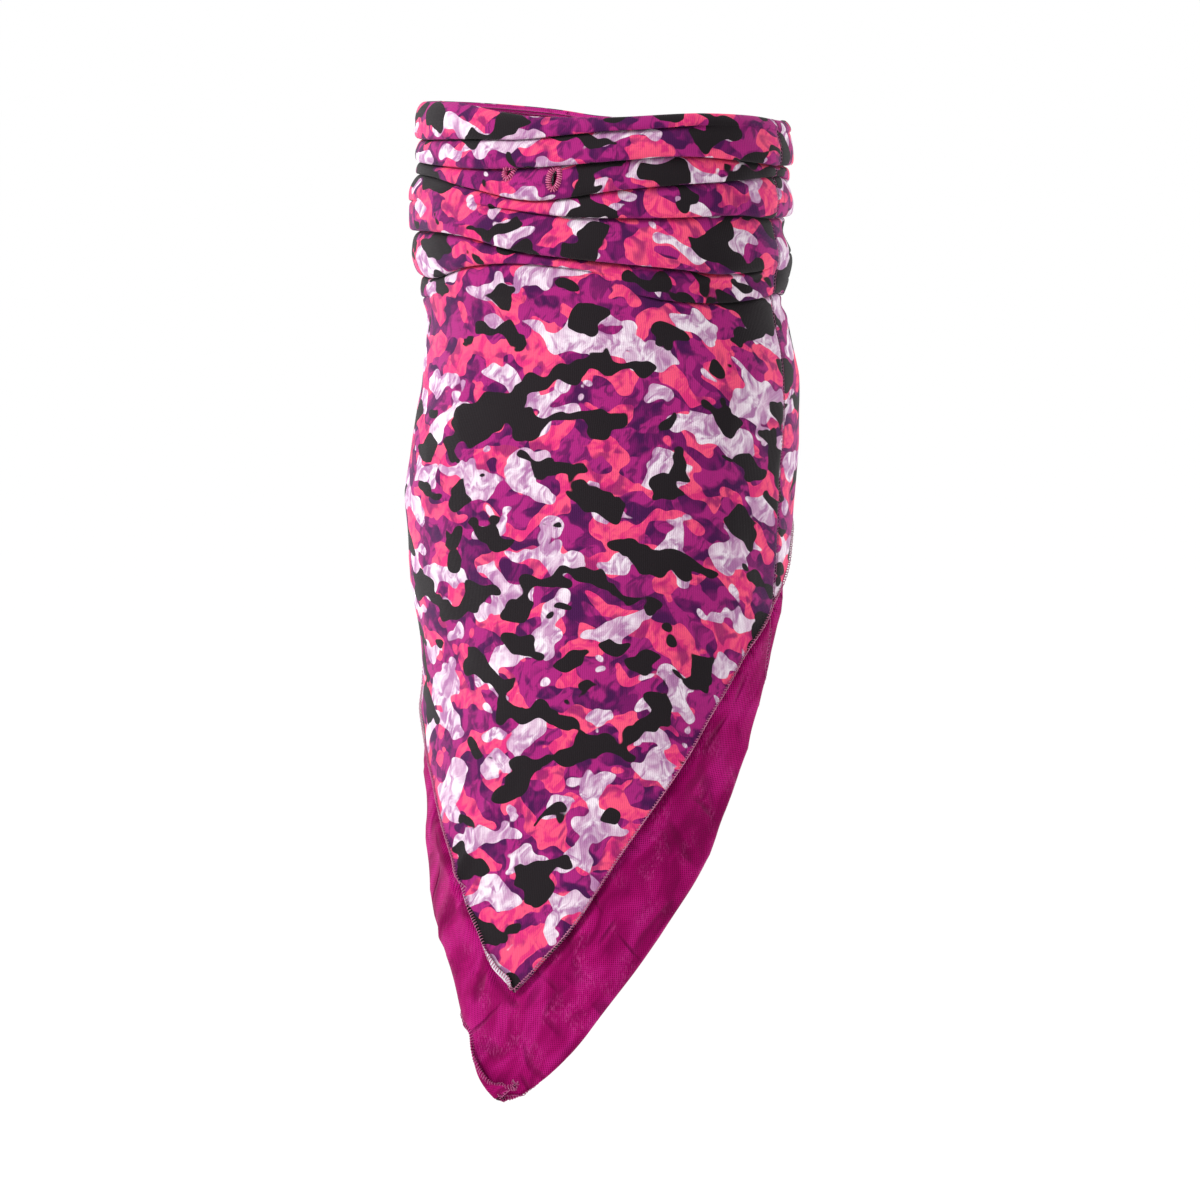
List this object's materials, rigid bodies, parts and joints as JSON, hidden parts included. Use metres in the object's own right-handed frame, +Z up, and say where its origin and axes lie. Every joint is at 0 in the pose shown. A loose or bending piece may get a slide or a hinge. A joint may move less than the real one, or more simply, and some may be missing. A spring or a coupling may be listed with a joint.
{
  "type": "neck gaiter",
  "caption": "Two-layer knitted neck gaiter: a printed tube gathered at the neck, cut to a V-shaped bib over a longer plain lining bib.",
  "frame": {"origin": "centre of the neck opening, level with the top rim", "axes": "+Z up out of the neck opening; -Y the front, where the bib hangs; +X the wearer's left"},
  "size_m": [0.186, 0.1468, 0.448],
  "materials": {
    "printed_jersey": "fine jersey knit with a camouflage print in pink, plum, lilac-white and black",
    "magenta_knit": "plain fine mesh knit, soft matt",
    "seam_thread": "flatlock stitches in polyester thread",
    "pink_thread": "overlock loops in textured polyester thread",
    "magenta_thread": "overlock loops in textured polyester thread",
    "eyelet_thread": "dense satin stitch, slightly glossy",
    "stabiliser": "thin non-woven",
    "label_tape": "smooth woven tape, blank"
  },
  "bodies": {
    "root": {"outer_front_panel": "printed_jersey", "outer_back_panel": "printed_jersey", "lining_front_panel": "magenta_knit", "lining_back_panel": "magenta_knit", "outer_left_seam": "seam_thread", "outer_right_seam": "seam_thread", "lining_left_seam": "seam_thread", "lining_right_seam": "seam_thread", "top_rim_seam": "magenta_knit", "outer_hem_overlock": "pink_thread", "lining_hem_overlock": "magenta_thread", "left_eyelet": "eyelet_thread", "right_eyelet": "eyelet_thread", "eyelet_backing": "stabiliser", "care_label": "label_tape"}
  },
  "joints": []
}
